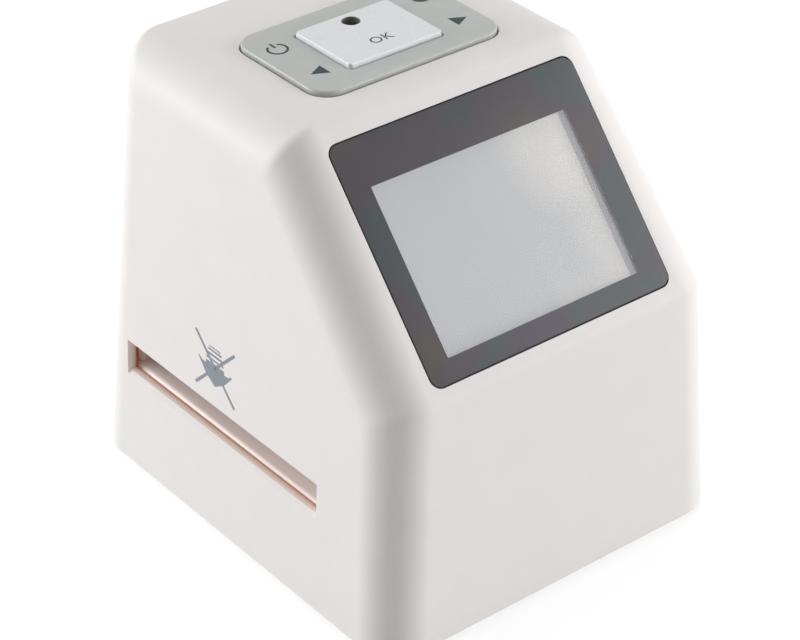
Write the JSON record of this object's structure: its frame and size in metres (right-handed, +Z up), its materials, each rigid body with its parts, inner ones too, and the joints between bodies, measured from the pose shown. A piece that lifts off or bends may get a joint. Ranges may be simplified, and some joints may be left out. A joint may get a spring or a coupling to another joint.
{
  "type": "film negative scanner",
  "caption": "Upright desktop film scanner with a sloped display, a rocking key plate round an OK button on top and a slot through its foot for the film holder.",
  "frame": {"origin": "on the surface that the feet stand on, under the middle of the housing", "axes": "+X to the right as seen from the front, +Y to the back, +Z up; the display slope faces -Y and up"},
  "size_m": [0.0922, 0.1064, 0.1044],
  "materials": {
    "housing": "fine satin, warm white",
    "base": "satin, warm white",
    "lens": "glossy, printed dark grey border round a clear window",
    "display": "smooth, unlit pale grey",
    "black_trim": "matte black",
    "key_grey": "fine satin, silver grey paint",
    "ok_white": "satin, cool white",
    "silicone": "matte",
    "led": "clear dome",
    "white_plastic": "satin white",
    "black_plastic": "matte black",
    "diffuser": "opal",
    "board": "green solder mask",
    "chip": "matte",
    "socket_steel": "tinned",
    "screw_steel": "zinc plated",
    "rubber": "matte"
  },
  "bodies": {
    "housing": {"main_housing": "housing", "rear_cover": "housing", "base_plate": "base", "foot_front_left": "rubber", "foot_front_right": "rubber", "foot_rear_left": "rubber", "foot_rear_right": "rubber", "base_screws": "screw_steel", "display_lens": "lens", "lens_tape": "black_trim", "lcd_panel": "display", "backlight_tray": "white_plastic", "display_board": "board", "display_screws": "screw_steel", "key_board": "board", "key_board_screws": "screw_steel", "power_switch": "black_plastic", "left_switch": "black_plastic", "right_switch": "black_plastic", "mode_switch": "black_plastic", "ok_switch": "black_plastic", "status_led": "led", "film_guide_lower": "white_plastic", "film_guide_upper": "white_plastic", "guide_screws": "screw_steel", "diffuser": "diffuser", "light_box": "white_plastic", "led_board": "board", "scan_leds": "led", "optic_tower": "black_plastic", "tower_screws": "screw_steel", "lens_barrel": "black_plastic", "sensor_mount": "black_plastic", "sensor_board": "board", "image_sensor": "chip", "main_board": "board", "main_board_screws": "screw_steel", "usb_socket": "socket_steel", "av_jack": "black_plastic", "card_socket": "socket_steel", "processor": "chip"},
    "key_mat": {"key_mat": "silicone"},
    "key_plate": {"key_plate": "key_grey", "power_plunger": "black_plastic", "left_plunger": "black_plastic", "right_plunger": "black_plastic", "mode_plunger": "black_plastic"},
    "ok_button": {"ok_button": "ok_white", "ok_plunger": "black_plastic"}
  },
  "joints": [
    {"name": "key_rock_front_back", "type": "hinge", "parent": "housing", "child": "key_mat", "pos_m": [0, 0.01, 0.09605], "axis": [1, 0, 0], "range_deg": [-1.5, 1.5], "stiffness_Nm_per_rad": 0.55},
    {"name": "key_rock_side", "type": "hinge", "parent": "key_mat", "child": "key_plate", "pos_m": [0, 0.01, 0.09715], "axis": [0, 1, 0], "range_deg": [-1, 1], "stiffness_Nm_per_rad": 1.65},
    {"name": "ok_press", "type": "slide", "parent": "housing", "child": "ok_button", "axis": [0, 0, -1], "range_m": [0, 0.0005], "stiffness_N_per_m": 3200}
  ]
}
